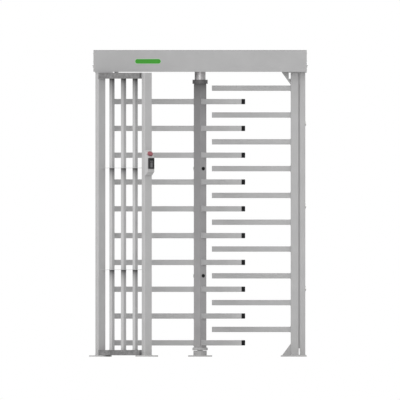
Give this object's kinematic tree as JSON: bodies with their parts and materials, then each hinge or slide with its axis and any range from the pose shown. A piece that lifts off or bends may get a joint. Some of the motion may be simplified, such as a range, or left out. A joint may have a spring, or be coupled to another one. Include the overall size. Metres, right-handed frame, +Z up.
{
  "type": "full height turnstile",
  "caption": "Full height pedestrian turnstile: a three-wing rotor of level arms turning between a fixed comb and a half-octagon barred cage, under a header with the drive.",
  "frame": {"origin": "on the floor, on the rotor's axis, under the pivot base plate", "axes": "+Z up along the rotor's axis, +X towards the comb's posts, -Y towards the front, where the card reader is"},
  "size_m": [1.64, 1.5074, 2.3],
  "materials": {
    "painted_frame": "satin",
    "painted_rails": "mottled",
    "painted_column": "satin",
    "painted_bars": "satin",
    "gland_grey": "matt",
    "painted_header": "satin",
    "painted_reader": "satin",
    "black_plastic": "matt",
    "turned_steel": "turned",
    "gear_steel": "oiled",
    "bearing_steel": "ground",
    "bush_bronze": "plain",
    "housing_iron": "cast",
    "zinc_steel": "zinc plated",
    "solenoid_black": "satin",
    "lock_chrome": "polished",
    "circuit_green": "matt",
    "supply_aluminium": "satin",
    "terminal_grey": "matt",
    "indicator_green": "gloss",
    "indicator_rim": "gloss",
    "reader_black": "satin",
    "button_red": "gloss",
    "button_rim": "matt"
  },
  "bodies": {
    "root": {"pivot_housing": "painted_frame", "pivot_bush_and_thrust_pad": "bush_bronze", "upper_bearing_housing": "housing_iron", "bearing_outer_ring": "bearing_steel", "mechanism_plate": "zinc_steel", "damper_body": "solenoid_black", "pawl_pins_and_clips": "zinc_steel", "solenoids_and_brackets": "solenoid_black", "position_sensor_and_bracket": "zinc_steel", "control_board": "circuit_green", "power_supply": "supply_aluminium", "terminal_blocks": "terminal_grey", "cable_gland_and_nut": "gland_grey", "header_base_pan": "painted_header", "header_front_panel": "painted_header", "header_rear_panel": "painted_header", "header_end_panels": "painted_header", "fixed_hinge_leaves_and_pins": "zinc_steel", "indicator_bezels": "indicator_rim", "indicator_lenses_and_boards": "indicator_green", "lock_escutcheons": "lock_chrome", "header_support_plates": "painted_header", "cage_posts_and_caps": "painted_frame", "cage_bars": "painted_bars", "cage_rails": "painted_rails", "cage_stiffener_plates": "painted_frame", "floor_plates": "painted_frame", "comb_arms": "painted_frame", "comb_arm_caps": "painted_frame", "comb_post": "painted_frame", "outer_post": "painted_frame", "post_joining_strips": "painted_header", "post_bolts": "zinc_steel", "comb_gussets": "painted_frame", "reader_housing": "painted_reader", "card_reader": "reader_black", "button_rim_and_contact_block": "button_rim"},
    "rotor": {"wing_1_arms": "painted_frame", "wing_2_arms": "painted_frame", "wing_3_arms": "painted_frame", "wing_arm_caps": "black_plastic", "rotor_column": "painted_column", "column_plugs": "black_plastic", "top_collar": "painted_rails", "drive_shaft": "turned_steel", "foot_flange": "painted_frame", "bearing_inner_ring_and_balls": "bearing_steel", "shaft_spacers_and_nut": "turned_steel", "main_gear": "gear_steel", "locking_disc": "gear_steel"},
    "damper_pinion": {"damper_pinion": "turned_steel"},
    "lid": {"header_lid": "painted_header", "lid_hinge_leaves": "zinc_steel"},
    "left_lock": {"left_lock": "lock_chrome"},
    "right_lock": {"right_lock": "lock_chrome"},
    "left_pawl": {"left_pawl": "gear_steel"},
    "right_pawl": {"right_pawl": "gear_steel"},
    "left_plunger": {"left_plunger": "turned_steel"},
    "right_plunger": {"right_plunger": "turned_steel"},
    "push_button": {"push_button": "button_red"}
  },
  "joints": [
    {"name": "rotor_turn", "type": "hinge", "parent": "root", "child": "rotor", "pos_m": [0, 0, 0], "axis": [0, 0, 1], "continuous": true},
    {"name": "damper_spin", "type": "hinge", "parent": "root", "child": "damper_pinion", "pos_m": [0, 0.12, 2.1975], "axis": [0, 0, 1], "continuous": true},
    {"name": "lid_hinge", "type": "hinge", "parent": "root", "child": "lid", "pos_m": [0, 0.206, 2.294], "axis": [-1, 0, 0], "range_deg": [0, 100]},
    {"name": "left_lock_turn", "type": "hinge", "parent": "root", "child": "left_lock", "pos_m": [-0.8, 0, 2.191], "axis": [-1, 0, 0], "range_deg": [0, 90]},
    {"name": "right_lock_turn", "type": "hinge", "parent": "root", "child": "right_lock", "pos_m": [0.8, 0, 2.191], "axis": [1, 0, 0], "range_deg": [0, 90]},
    {"name": "left_pawl_swing", "type": "hinge", "parent": "root", "child": "left_pawl", "pos_m": [-0.128, -0.045, 2.229], "axis": [0, 0, -1], "range_deg": [0, 10], "stiffness_Nm_per_rad": 0.5},
    {"name": "right_pawl_swing", "type": "hinge", "parent": "root", "child": "right_pawl", "pos_m": [0.128, -0.045, 2.229], "axis": [0, 0, 1], "range_deg": [0, 10], "stiffness_Nm_per_rad": 0.5},
    {"name": "left_plunger_slide", "type": "slide", "parent": "root", "child": "left_plunger", "axis": [-1, 0, 0], "range_m": [0, 0.0062]},
    {"name": "right_plunger_slide", "type": "slide", "parent": "root", "child": "right_plunger", "axis": [1, 0, 0], "range_m": [0, 0.0062]},
    {"name": "button_press", "type": "slide", "parent": "root", "child": "push_button", "axis": [-0.2631, 0.6351, -0.7263], "range_m": [0, 0.004], "stiffness_N_per_m": 400}
  ],
  "couplings": [
    {"joint": "damper_spin", "follows": "rotor_turn", "ratio": -3},
    {"joint": "left_plunger_slide", "follows": "left_pawl_swing", "m_per_rad": 0.035},
    {"joint": "right_plunger_slide", "follows": "right_pawl_swing", "m_per_rad": 0.035}
  ]
}
